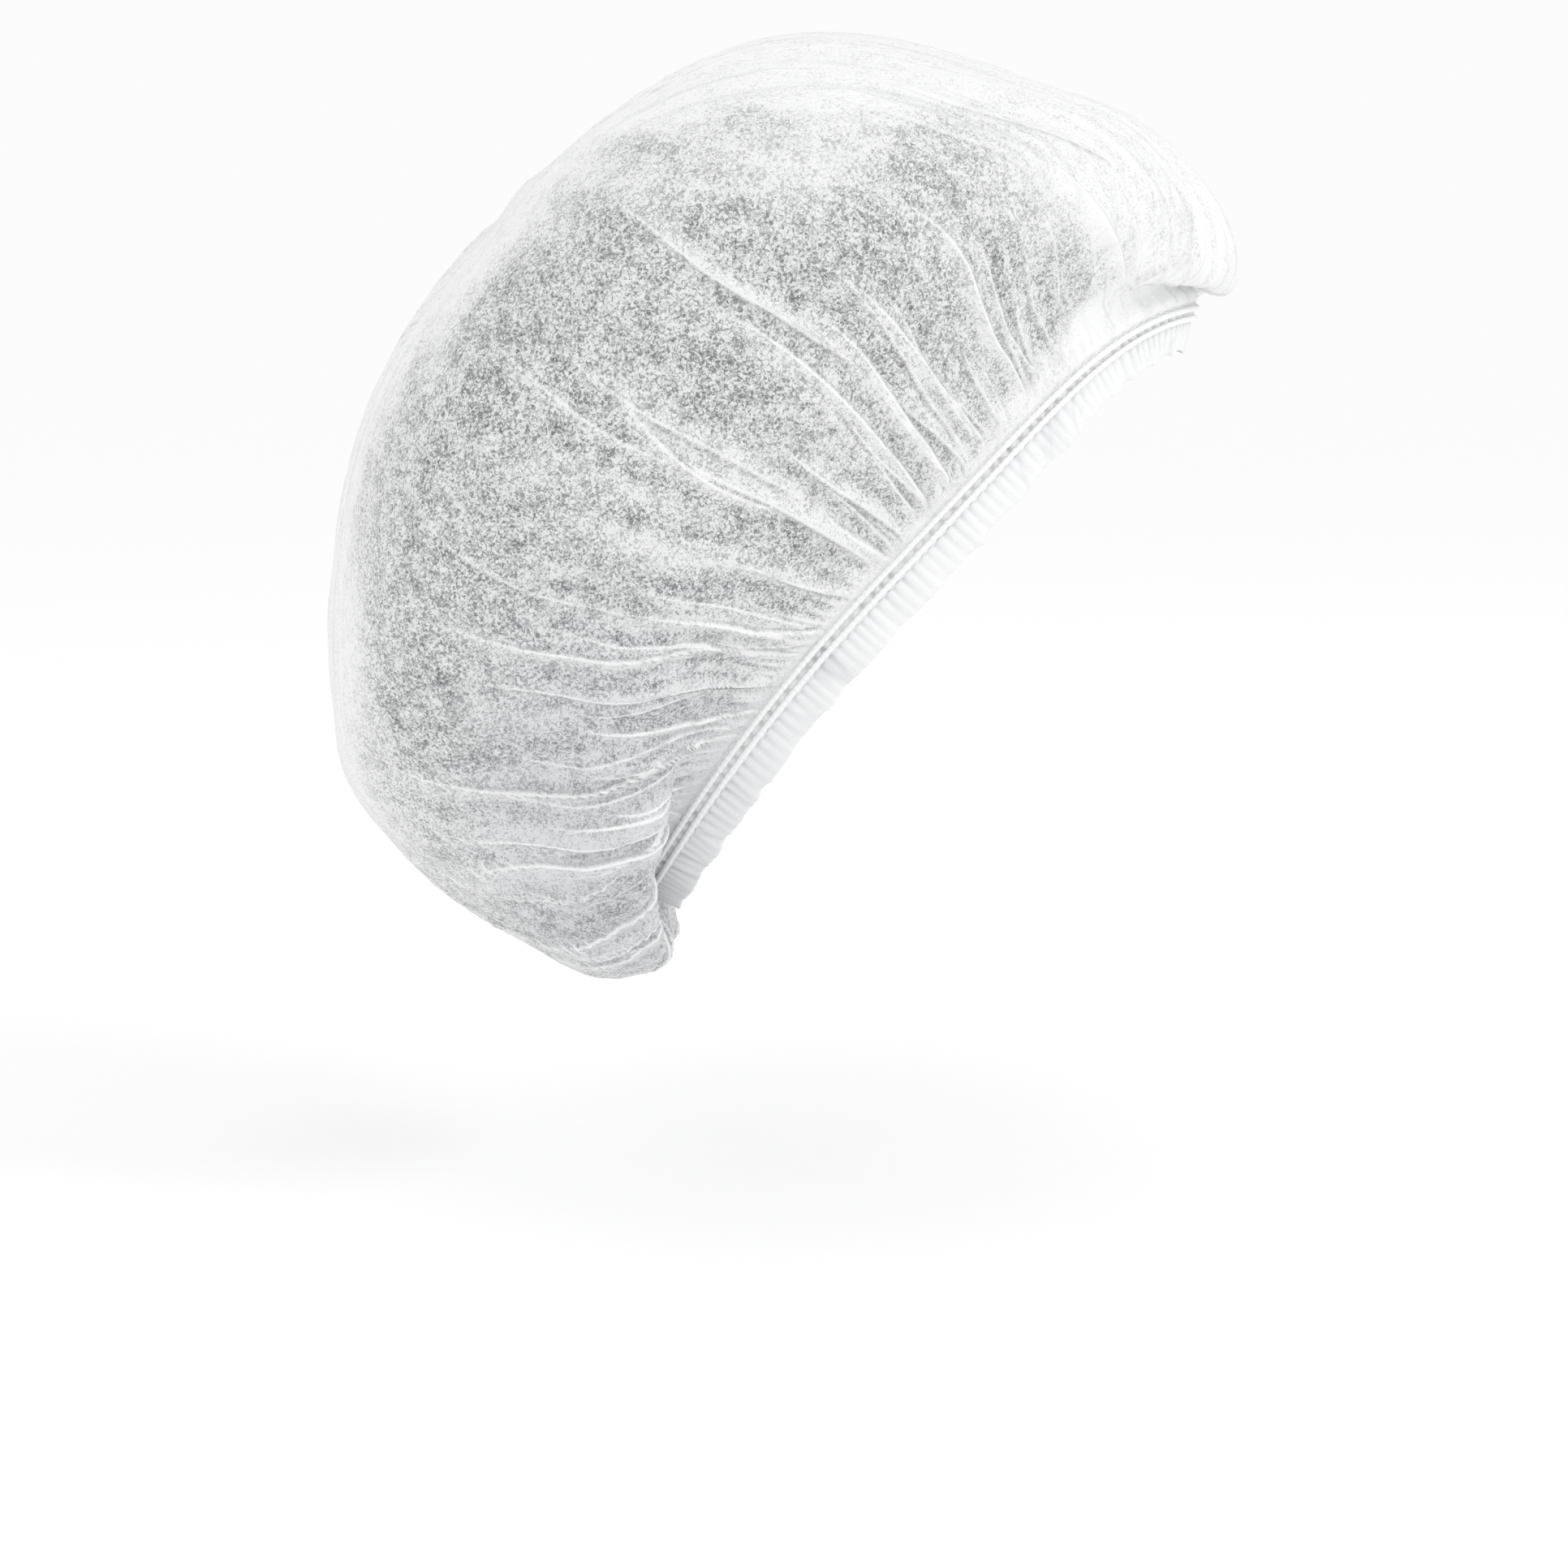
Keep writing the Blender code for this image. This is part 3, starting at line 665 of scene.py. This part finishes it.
def stand_off(grid, waver):
    """1 where the cloth stands clear of the head, over its middle and in front, and 0 along its sides."""
    up = grid[:, :, 2] / CROWN_DEPTH
    to_the_back = smooth_step(*CLEAR_WIDENING_ALONG, grid[:, :, 1])
    widening = CLEAR_WIDENING_FRONT + (CLEAR_WIDENING_BACK - CLEAR_WIDENING_FRONT) * to_the_back
    aside = share_aside(grid) - widening * smooth_step(*CLEAR_WIDENING_UP, up) + CLEAR_WAVER * waver
    over_the_middle = 1 - smooth_step(*CLEAR_ASIDE, aside)
    over_the_middle *= np.where(grid[:, :, 1] > 0, smooth_step(*CLEAR_UP_AT_BACK, up), 1.0)
    in_front = smooth_step(*CLEAR_FRONT, -grid[:, :, 1] / (LOOP_LENGTH / 2))
    return np.maximum(over_the_middle, CLEAR_FRONT_STRENGTH * in_front)


def nape_share(share):
    """1 near the nape and 0 from the ears forward, round the loop."""
    return smooth_step(*NAPE_SIDES, np.abs(share - 0.5))


def crown_marks(grid, share, distance, doubled):
    """How doubled, clear of the head, shaded and creased by packing the cloth is at each point."""
    clear = stand_off(grid, noise_grid(share, distance, CLEAR_WAVERS))
    shade = NAPE_SHADE * nape_share(share) * smooth_step(*NAPE_FADING, distance)
    packed = smooth_step(*PACKING_UP, grid[:, :, 2] / CROWN_DEPTH)
    packed *= 1 - smooth_step(*PACKING_ASIDE, share_aside(grid))
    return np.stack([doubled, clear, shade, packed], axis=2).reshape(-1, 4)


def tilted(points):
    """Points of the flat-lying cap in its pose on a head."""
    flat = points.reshape(-1, 3)
    c, s = math.cos(RIM_TILT), math.sin(RIM_TILT)
    return np.stack([flat[:, 0], flat[:, 1] * c + flat[:, 2] * s, flat[:, 2] * c - flat[:, 1] * s], axis=1)


def ring_faces(rows, columns, closed_rows=False):
    """Quads of a grid whose columns run round the loop, facing outwards."""
    row = np.arange(rows if closed_rows else rows - 1)[:, None]
    column = np.arange(columns)[None, :]
    after_row = (row + 1) % rows
    after_column = (column + 1) % columns
    corners = (
        row * columns + column,
        after_row * columns + column,
        after_row * columns + after_column,
        row * columns + after_column,
    )
    return np.stack(corners, axis=2).reshape(-1, 4).tolist()


def add_colours(mesh, name, values):
    """Keeps up to four numbers for each point of the mesh, which its material reads."""
    colours = np.zeros((len(mesh.vertices), 4))
    colours[:, : values.shape[1]] = values
    attribute = mesh.color_attributes.new(name, "FLOAT_COLOR", "POINT")
    attribute.data.foreach_set("color", colours.ravel())


def add_piece(name, points, faces, marks, lines, material, nodes):
    """A smooth mesh that stands for CAD nodes.

    Marks are (doubled, stand off, shade, packed) for each point, and lines are (distance, strength).
    """
    mesh = bpy.data.meshes.new(name)
    mesh.from_pydata(tilted(points).tolist(), [], faces)
    mesh.shade_smooth()
    add_colours(mesh, "marks", marks)
    if lines is not None:
        add_colours(mesh, "lines", lines)
    mesh.materials.append(material)
    piece = bpy.data.objects.new(name, mesh)
    bpy.context.scene.collection.objects.link(piece)
    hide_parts(*nodes)
    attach(piece, "root")
    return piece


def make_crown(material):
    angle = loop_angles(CROWN_COLUMNS)
    share = np.arange(CROWN_COLUMNS) / CROWN_COLUMNS
    sections, top = crown_sections(angle)
    grid = smooth_rows(sections, top)
    normals = grid_normals(grid)
    steps = np.linalg.norm(np.diff(grid, axis=0), axis=2)
    distance = np.concatenate([np.zeros((1, CROWN_COLUMNS)), np.cumsum(steps, axis=0)])
    ring_length = np.linalg.norm(np.roll(grid, -1, axis=1) - grid, axis=2).sum(axis=1)[:, None]

    height = np.zeros(distance.shape)
    doubled = np.zeros(distance.shape)
    lines = np.zeros((*distance.shape, 2))
    add_folds(FOLDS, share, distance, ring_length, height, doubled, lines)
    add_folds(lesser_folds(), share, distance, ring_length, height, doubled, lines)
    add_gathers(share, distance, ring_length, height, doubled)
    add_billows(share, distance, height)
    add_hem_doubling(share, distance, doubled)

    points = grid + normals * height[..., None]
    marks = crown_marks(grid, share, distance, doubled)
    rows = len(grid)
    faces = ring_faces(rows, CROWN_COLUMNS)
    last = (rows - 1) * CROWN_COLUMNS
    faces += [
        (last + index, rows * CROWN_COLUMNS, last + (index + 1) % CROWN_COLUMNS)
        for index in range(CROWN_COLUMNS)
    ]
    points = np.concatenate([points.reshape(-1, 3), top[None]])
    marks = np.concatenate([marks, [[0.0, 1.0, 0.0, 1.0]]])
    lines[..., 0] = 0.5 + lines[..., 0] / LINE_SPAN
    lines = np.concatenate([lines.reshape(-1, 2), [[0.5, 0.0]]])
    return add_piece("crown_cloth", points, faces, marks, lines, material, ["crown"])


def ring_noise(share, radius, seed):
    """Soft noise round the loop that ends as it starts, finer with a larger radius."""
    turns = (math.tau * share).tolist()
    places = [(math.cos(turn) * radius, math.sin(turn) * radius, seed) for turn in turns]
    return np.array([noise.noise(place) for place in places])


def hem_wave(share, pitch, seed):
    """An uneven ripple round the loop, from -1 to 1, with about one crest for each pitch."""
    count = round(loop_perimeter() / pitch)
    drift = RIPPLE_DRIFT * ring_noise(share, RIPPLE_DRIFT_PACE, seed)
    size = RIPPLE_SIZE + RIPPLE_SIZE_CHANGE * ring_noise(share, RIPPLE_SIZE_PACE, seed + 4)
    return np.cos(math.tau * count * share + drift) * size


def hem_marks(doubled, shade):
    """The marks of a row of the hem. Doubled runs from the least whiteness at 0 to the most at 1."""
    white = HEM_WHITENESS + (1 - HEM_WHITENESS) * doubled + 0.0 * shade
    return np.stack([white, np.ones_like(shade), shade, np.zeros_like(shade)], axis=1)


def make_casing(material):
    """The flat strip that holds the elastic: pinched along both strands and dimpled between them."""
    angle = loop_angles(HEM_COLUMNS)
    share = np.arange(HEM_COLUMNS) / HEM_COLUMNS
    wave = hem_wave(share, STITCH_PITCH, STITCH_SEED)
    dimple = np.clip(-wave, 0.0, 1.0) ** 2
    half = CASING_WIDTH / 2
    rows, marks = [], []
    for up in np.linspace(-half, half, CASING_ROWS):
        pinch = math.exp(-(((abs(up) - ELASTIC_SPACING / 2) / PINCH_HALF) ** 2))
        between = math.exp(-((up / DIMPLE_HALF) ** 2))
        puff = CASING_PUFF * wave * (1 - pinch) - CASING_DIMPLE * dimple * between - CASING_PINCH * pinch
        rows.append(hem_points(angle, up, CASING_FACE + puff))
        shade = (CASING_SHADE + DIMPLE_SHADE * dimple) * between
        marks.append(hem_marks(pinch, shade))
    points = np.array(rows)
    faces = ring_faces(len(rows), HEM_COLUMNS)
    marks = np.array(marks).reshape(-1, 4)
    return add_piece("casing_cloth", points, faces, marks, None, material, ["hem_casing"])


def make_ruffle(material):
    """The doubled frill: an outer ply down to its folded edge, and an inner ply back up, with ribs."""
    angle = loop_angles(HEM_COLUMNS)
    share = np.arange(HEM_COLUMNS) / HEM_COLUMNS
    ribs = hem_wave(share, RUFFLE_RIB_PITCH, RIB_SEED)
    waves = hem_wave(share, RUFFLE_WAVE_PITCH, WAVE_SEED)
    top = RUFFLE_TUCK - CASING_WIDTH / 2
    width = RUFFLE_WIDTH * (1 + RIB_WIDENING * ribs + WAVE_WIDENING * waves)
    outer_ply = [(part, 0.0) for part in np.linspace(0.0, 0.94, OUTER_PLY_ROWS)]
    edge = [(0.98, 0.15), (1.0, 0.5), (0.98, 0.85)]
    inner_ply = [(part, 1.0) for part in np.linspace(0.94, 0.05, INNER_PLY_ROWS)]
    rows, marks = [], []
    for down, ply in outer_ply + edge + inner_ply:
        swing = (RIB_SWING - RIB_SWING_LOSS * down) * ribs + WAVE_SWING * down * waves
        gap = RUFFLE_PLY_GAP * ply * min(1.0, down * 4)
        rows.append(hem_points(angle, top - width * down, CASING_FACE + swing - gap))
        shade = RIB_SHADE * np.clip(-ribs, 0.0, 1.0) * (1 - down) ** 1.2
        shade += SEAM_SHADE * math.exp(-down / SEAM_SHADE_REACH)
        shade += RUFFLE_NAPE_SHADE * nape_share(share)
        marks.append(hem_marks(down, shade))
    points = np.array(rows)
    faces = [face[::-1] for face in ring_faces(len(rows), HEM_COLUMNS)]
    marks = np.array(marks).reshape(-1, 4)
    return add_piece("ruffle_cloth", points, faces, marks, None, material, ["hem_ruffle"])


def make_strand(name, node, up, material):
    """One covered elastic strand, a bright line with slight beads where the stitches cross it."""
    angle = loop_angles(HEM_COLUMNS)
    share = np.arange(HEM_COLUMNS) / HEM_COLUMNS
    beads = hem_wave(share, STITCH_PITCH / 2, STITCH_SEED + up * 1000)
    seat = CASING_FACE + ELASTIC_RADIUS * STRAND_SEAT
    radius = ELASTIC_RADIUS * (1 + BEAD_HEIGHT * beads)
    rows = []
    for number in range(STRAND_SIDES):
        turn = math.tau * number / STRAND_SIDES
        rows.append(hem_points(angle, up + radius * math.cos(turn), seat + radius * math.sin(turn)))
    faces = [face[::-1] for face in ring_faces(STRAND_SIDES, HEM_COLUMNS, closed_rows=True)]
    marks = np.tile([1.0, 1.0, 0.0, 0.0], (STRAND_SIDES * HEM_COLUMNS, 1))
    return add_piece(name, np.array(rows).reshape(-1, 3), faces, marks, None, material, [node])


def add_node(tree, kind, place, **inputs):
    node = tree.nodes.new(kind)
    node.location = place
    for name, value in inputs.items():
        node.inputs[name.replace("_", " ")].default_value = value
    return node


def mixed(tree, place, factor, first, second):
    """A colour mix. Factor, first and second are each a socket or a value."""
    node = tree.nodes.new("ShaderNodeMix")
    node.data_type = "RGBA"
    node.location = place
    for socket, value in ((node.inputs[0], factor), (node.inputs[6], first), (node.inputs[7], second)):
        if isinstance(value, bpy.types.NodeSocket):
            tree.links.new(value, socket)
        else:
            socket.default_value = value
    return node.outputs[2]


def computed(tree, place, operation, *values, clamp=True):
    """A math node's result. Each value is a socket or a number."""
    node = tree.nodes.new("ShaderNodeMath")
    node.operation = operation
    node.use_clamp = clamp
    node.location = place
    for socket, value in zip(node.inputs, values):
        if isinstance(value, bpy.types.NodeSocket):
            tree.links.new(value, socket)
        else:
            socket.default_value = value
    return node.outputs[0]


def ranged(tree, place, value, low, high, to_low=0.0, to_high=1.0):
    """The value's place between low and high, smoothed, from to_low to to_high."""
    node = tree.nodes.new("ShaderNodeMapRange")
    node.interpolation_type = "SMOOTHSTEP"
    node.location = place
    for name, number in (("From Min", low), ("From Max", high), ("To Min", to_low), ("To Max", to_high)):
        node.inputs[name].default_value = number
    tree.links.new(value, node.inputs["Value"])
    return node.outputs["Result"]


def add_packing_lines(tree, position, packed):
    """Thin lines along the packing creases, bright ones and dark ones of painted shade, which run from
    front to back at even steps from the middle.
    """
    split = add_node(tree, "ShaderNodeSeparateXYZ", (-1300, -700))
    tree.links.new(position, split.inputs["Vector"])
    drift = add_node(tree, "ShaderNodeTexNoise", (-1300, -850), Scale=14.0, Detail=1.0)
    tree.links.new(position, drift.inputs["Vector"])
    terms = (drift.outputs["Fac"], PACKING_DRIFT, split.outputs["X"])
    place = computed(tree, (-1100, -700), "MULTIPLY_ADD", *terms, clamp=False)
    fold = computed(tree, (-950, -700), "PINGPONG", place, PACKING_PITCH / 2, clamp=False)
    found = []
    for height, edges in ((-650, PACKING_BRIGHT_EDGES), (-850, PACKING_DARK_EDGES)):
        line = ranged(tree, (-650, height), fold, *(PACKING_PITCH * edge for edge in edges))
        found.append(computed(tree, (-450, height), "MULTIPLY", line, packed))
    return found


def add_margin_streaks(tree, position, clear):
    """Fine grey streaks from front to back where the cloth stands clear of the head."""
    stretch = add_node(tree, "ShaderNodeMapping", (-1300, -1000), Scale=(420.0, 16.0, 16.0))
    tree.links.new(position, stretch.inputs["Vector"])
    streaks = add_node(tree, "ShaderNodeTexNoise", (-1100, -1000), Scale=1.0, Detail=2.0)
    tree.links.new(stretch.outputs["Vector"], streaks.inputs["Vector"])
    streaks = ranged(tree, (-900, -1000), streaks.outputs["Fac"], *STREAK_EDGES)
    return computed(tree, (-700, -1000), "MULTIPLY", streaks, clear)


def add_fold_lines(tree, colour, cloth):
    """Draws each fold's crest as a thin bright line with a dark line of painted shade beside it. Also
    returns the crests.
    """
    lines = add_node(tree, "ShaderNodeVertexColor", (-1300, -1300))
    lines.layer_name = "lines"
    split = add_node(tree, "ShaderNodeSeparateColor", (-1100, -1300))
    tree.links.new(lines.outputs["Color"], split.inputs["Color"])
    distance, strength, _ = split.outputs
    found = []
    for row, (place, half) in enumerate(((0.0, LINE_BRIGHT_HALF), (LINE_DARK_PLACE, LINE_DARK_HALF))):
        height = -1300 - 200 * row
        away = computed(tree, (-900, height), "SUBTRACT", distance, 0.5 + place / LINE_SPAN, clamp=False)
        away = computed(tree, (-750, height), "ABSOLUTE", away)
        inside = ranged(tree, (-600, height), away, half / LINE_SPAN, 0.3 * half / LINE_SPAN)
        found.append(computed(tree, (-450, height), "MULTIPLY", inside, strength))
    crest, foot = found
    # Painted shade: the dark line beside each crest.
    dark = computed(tree, (-450, 400), "MULTIPLY", foot, CREST_DARK)
    bright = computed(tree, (-400, 500), "MULTIPLY", crest, CREST_BRIGHT)
    colour = mixed(tree, (-380, 400), dark, colour, cloth.fold_shade)
    return mixed(tree, (-340, 400), bright, colour, cloth.white), crest


def add_grain(tree, position, cloth):
    """The felt of fibres: fine grains alone, and as a density whose clouds make it sparser and denser."""
    grains = add_node(
        tree,
        "ShaderNodeTexNoise",
        (-1300, 200),
        Scale=1 / cloth.grain,
        Detail=3.0,
        Roughness=0.62,
        Distortion=0.9,
    )
    clouds = add_node(tree, "ShaderNodeTexNoise", (-1300, -100), Scale=170.0, Detail=3.0, Roughness=0.6)
    for texture in (grains, clouds):
        tree.links.new(position, texture.inputs["Vector"])
    grains = grains.outputs["Fac"]
    clouds = clouds.outputs["Fac"]
    spotted = computed(tree, (-1100, 60), "MULTIPLY_ADD", clouds, CLOUD_SHIFT, grains, clamp=False)
    return grains, ranged(tree, (-1000, 200), spotted, cloth.sparse, cloth.dense)


def new_material(name):
    """A material with its node tree and its shader."""
    material = bpy.data.materials.new(name)
    material.use_nodes = True
    return material, material.node_tree, material.node_tree.nodes["Principled BSDF"]


def make_cloth_material(name, cloth):
    """Spunbond cloth: a felt of fine fibres whose thin spots are greyer and let more light through."""
    material, tree, shader = new_material(name)
    shader.inputs["Roughness"].default_value = cloth.roughness
    shader.inputs["Specular IOR Level"].default_value = 0.2
    shader.inputs["Sheen Weight"].default_value = cloth.sheen
    shader.inputs["Sheen Roughness"].default_value = 0.4
    position = add_node(tree, "ShaderNodeTexCoord", (-1500, 0)).outputs["Object"]
    grains, density = add_grain(tree, position, cloth)
    marks = add_node(tree, "ShaderNodeVertexColor", (-1300, -400))
    marks.layer_name = "marks"
    split = add_node(tree, "ShaderNodeSeparateColor", (-1100, -400))
    tree.links.new(marks.outputs["Color"], split.inputs["Color"])
    doubled, clear, shade = split.outputs
    bright_line, dark_line = add_packing_lines(tree, position, marks.outputs["Alpha"])
    streaks = add_margin_streaks(tree, position, clear)

    # Painted light: the cloth that stands clear of the head is whitened here, along with its real
    # doubling.
    doubling_and_painted_light = computed(tree, (-850, -150), "MULTIPLY_ADD", clear, CLEAR_PAINTED_LIGHT, doubled)
    doubling_and_painted_light = computed(tree, (-700, -150), "MULTIPLY_ADD", bright_line, PACKING_BRIGHT, doubling_and_painted_light)
    filled = computed(tree, (-850, 100), "MULTIPLY_ADD", doubling_and_painted_light, WHITE_FILL, density)
    colour = mixed(tree, (-600, 200), filled, cloth.thin, cloth.thick)
    colour = mixed(tree, (-450, 200), doubling_and_painted_light, colour, cloth.white)
    # Painted shade: the dark lines beside the packing creases and the shade kept in the marks.
    shadow = computed(tree, (-550, -20), "MULTIPLY_ADD", dark_line, PACKING_DARK, shade)
    shadow = computed(tree, (-500, -20), "MULTIPLY_ADD", streaks, STREAK_DARK, shadow)
    colour = mixed(tree, (-420, 200), shadow, colour, SHADOW_COLOUR)
    colour, crest = add_fold_lines(tree, colour, cloth)
    tree.links.new(colour, shader.inputs["Base Color"])

    doubling_and_painted_light = computed(tree, (-500, -250), "MAXIMUM", doubling_and_painted_light, crest)
    cover = computed(tree, (-450, -200), "MULTIPLY_ADD", doubling_and_painted_light, WHITE_COVER, density)
    alpha = ranged(tree, (-300, -150), cover, 0.0, 1.0, cloth.thin_alpha, cloth.thick_alpha)
    tree.links.new(alpha, shader.inputs["Alpha"])

    bump = add_node(tree, "ShaderNodeBump", (-300, -400), Strength=cloth.bump, Distance=0.0004)
    tree.links.new(grains, bump.inputs["Height"])
    tree.links.new(bump.outputs["Normal"], shader.inputs["Normal"])
    return material


def make_elastic_material():
    """The strands' cover: white yarn wound round them, a little shinier than the cloth."""
    material, tree, shader = new_material("elastic_cover")
    shader.inputs["Roughness"].default_value = 0.55
    place = add_node(tree, "ShaderNodeTexCoord", (-900, 0)).outputs["Object"]
    yarn = add_node(tree, "ShaderNodeTexNoise", (-700, 0), Scale=1500.0, Detail=2.0)
    tree.links.new(place, yarn.inputs["Vector"])
    colour = mixed(tree, (-450, 100), yarn.outputs["Fac"], YARN_DARK, YARN_LIGHT)
    tree.links.new(colour, shader.inputs["Base Color"])
    bump = add_node(tree, "ShaderNodeBump", (-300, -300), Strength=0.3, Distance=0.0002)
    tree.links.new(yarn.outputs["Fac"], bump.inputs["Height"])
    tree.links.new(bump.outputs["Normal"], shader.inputs["Normal"])
    return material


def make_floor():
    mesh = bpy.data.meshes.new("studio_floor")
    half = FLOOR_SIZE / 2
    corners = [(-half, -half), (half, -half), (half, half), (-half, half)]
    mesh.from_pydata([(x, y, FLOOR_HEIGHT) for x, y in corners], [], [(0, 1, 2, 3)])
    material, _, shader = new_material("studio_floor")
    shader.inputs["Base Color"].default_value = (1.0, 1.0, 1.0, 1)
    shader.inputs["Roughness"].default_value = 1.0
    shader.inputs["Specular IOR Level"].default_value = 0.0
    mesh.materials.append(material)
    floor = bpy.data.objects.new("studio_floor", mesh)
    bpy.context.scene.collection.objects.link(floor)


def place_facing(item, place, aim):
    """Puts a light or the camera at this place, facing the aim."""
    item.location = place
    item.rotation_mode = "QUATERNION"
    item.rotation_quaternion = (Vector(aim) - Vector(place)).to_track_quat("-Z", "Y")
    bpy.context.scene.collection.objects.link(item)


def add_area_light(light):
    data = bpy.data.lights.new(light.name, "AREA")
    data.shape = "DISK"
    data.size = light.size
    data.energy = light.power
    place_facing(bpy.data.objects.new(light.name, data), light.place, light.aim)


def make_studio():
    world = bpy.data.worlds.new("studio")
    world.use_nodes = True
    background = world.node_tree.nodes["Background"]
    background.inputs["Color"].default_value = (1.0, 1.0, 1.0, 1)
    background.inputs["Strength"].default_value = SURROUND_BRIGHTNESS
    bpy.context.scene.world = world
    for light in LIGHTS:
        add_area_light(light)
    bpy.context.scene.view_settings.view_transform = "Standard"


def make_camera():
    data = bpy.data.cameras.new("camera")
    data.sensor_width = SENSOR_WIDTH
    data.lens = SENSOR_WIDTH * (CAMERA_TARGET - CAMERA_PLACE).length / VIEW_WIDTH
    data.clip_start = 0.01
    camera = bpy.data.objects.new("camera", data)
    place_facing(camera, CAMERA_PLACE, CAMERA_TARGET)
    bpy.context.scene.camera = camera


def main():
    cloth = make_cloth_material("spunbond", SPUNBOND)
    hem_cloth = make_cloth_material("doubled_spunbond", HEM_CLOTH)
    elastic = make_elastic_material()
    crown = make_crown(cloth)
    hem = [
        make_casing(hem_cloth),
        make_ruffle(hem_cloth),
        make_strand("strand_upper", "elastic_upper", ELASTIC_SPACING / 2, elastic),
        make_strand("strand_lower", "elastic_lower", -ELASTIC_SPACING / 2, elastic),
    ]
    make_floor()
    make_studio()
    make_camera()


main()
